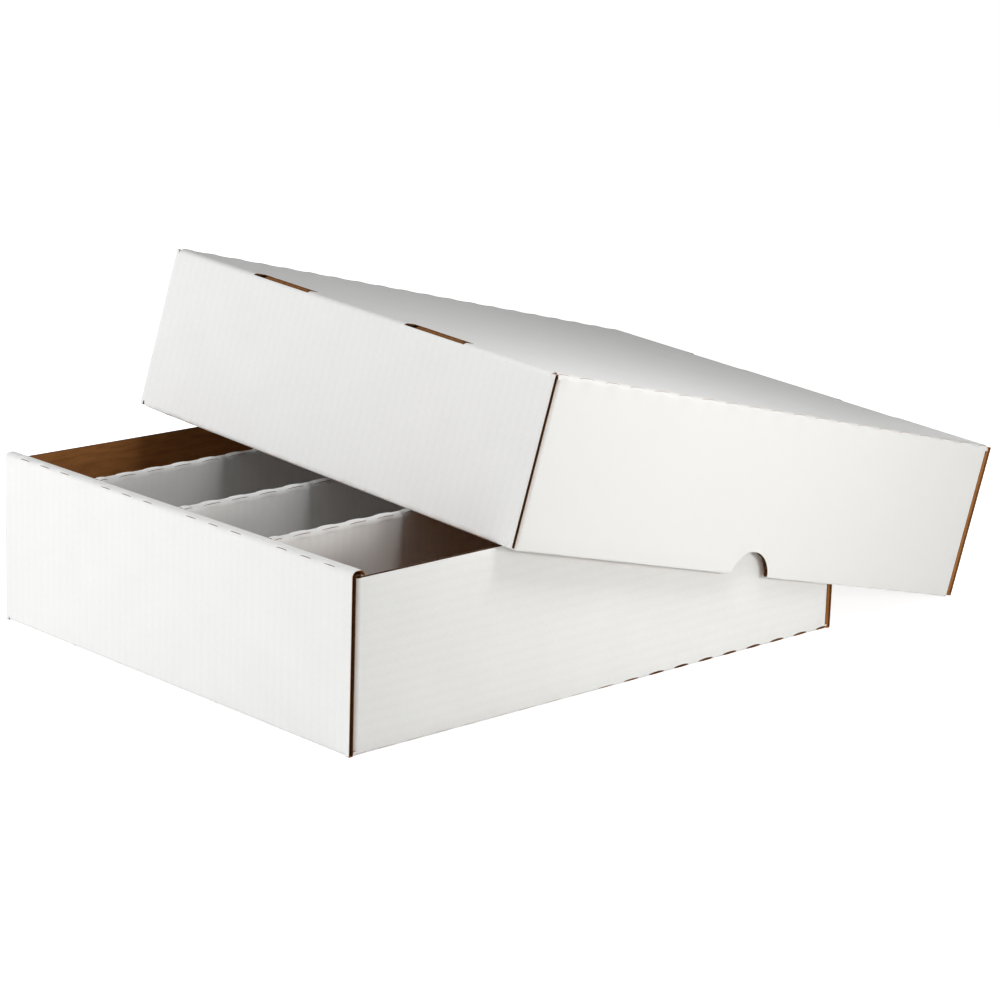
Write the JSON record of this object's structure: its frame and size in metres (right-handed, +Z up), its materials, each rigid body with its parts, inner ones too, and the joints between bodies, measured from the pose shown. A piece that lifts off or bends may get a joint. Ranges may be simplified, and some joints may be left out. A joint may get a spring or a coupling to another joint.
{
  "type": "trading card storage box",
  "caption": "White corrugated card storage box: a rolled-end base tray split into card rows by folded dividers, with a loose rolled-end lid leaning across it.",
  "frame": {"origin": "centre of the underside of the base tray, on the surface it stands on", "axes": "+X along the card rows towards the lowered end of the lid, +Y across the rows towards the far side wall, +Z up"},
  "size_m": [0.5272, 0.3454, 0.2146],
  "materials": {
    "base_board": "white coated outer liner, kraft brown inner liner and cut edges",
    "divider_board": "white coated outer liner folded outwards, kraft brown cut edges",
    "lid_board": "white coated outer liner, kraft brown inner liner and cut edges"
  },
  "bodies": {
    "base": {"base_bottom": "base_board", "base_end_left": "base_board", "base_end_right": "base_board", "base_flap_far_left": "base_board", "base_flap_far_right": "base_board", "base_flap_near_left": "base_board", "base_flap_near_right": "base_board", "base_lining_left": "base_board", "base_lining_right": "base_board", "base_rim_left": "base_board", "base_rim_right": "base_board", "base_side_far": "base_board", "base_side_near": "base_board", "divider_1_leaf_far": "divider_board", "divider_1_leaf_near": "divider_board", "divider_1_ridge": "divider_board", "divider_2_leaf_far": "divider_board", "divider_2_leaf_near": "divider_board", "divider_2_ridge": "divider_board", "divider_3_leaf_far": "divider_board", "divider_3_leaf_near": "divider_board", "divider_3_ridge": "divider_board"},
    "lid": {"lid_end_left": "lid_board", "lid_end_right": "lid_board", "lid_flap_far_left": "lid_board", "lid_flap_far_right": "lid_board", "lid_flap_near_left": "lid_board", "lid_flap_near_right": "lid_board", "lid_lining_left": "lid_board", "lid_lining_right": "lid_board", "lid_rim_left": "lid_board", "lid_rim_right": "lid_board", "lid_side_far": "lid_board", "lid_side_near": "lid_board", "lid_top": "lid_board"}
  },
  "joints": [
    {"name": "lid_lift", "type": "slide", "parent": "base", "child": "lid", "axis": [0, 0, 1], "range_m": [0, 0.15]}
  ]
}
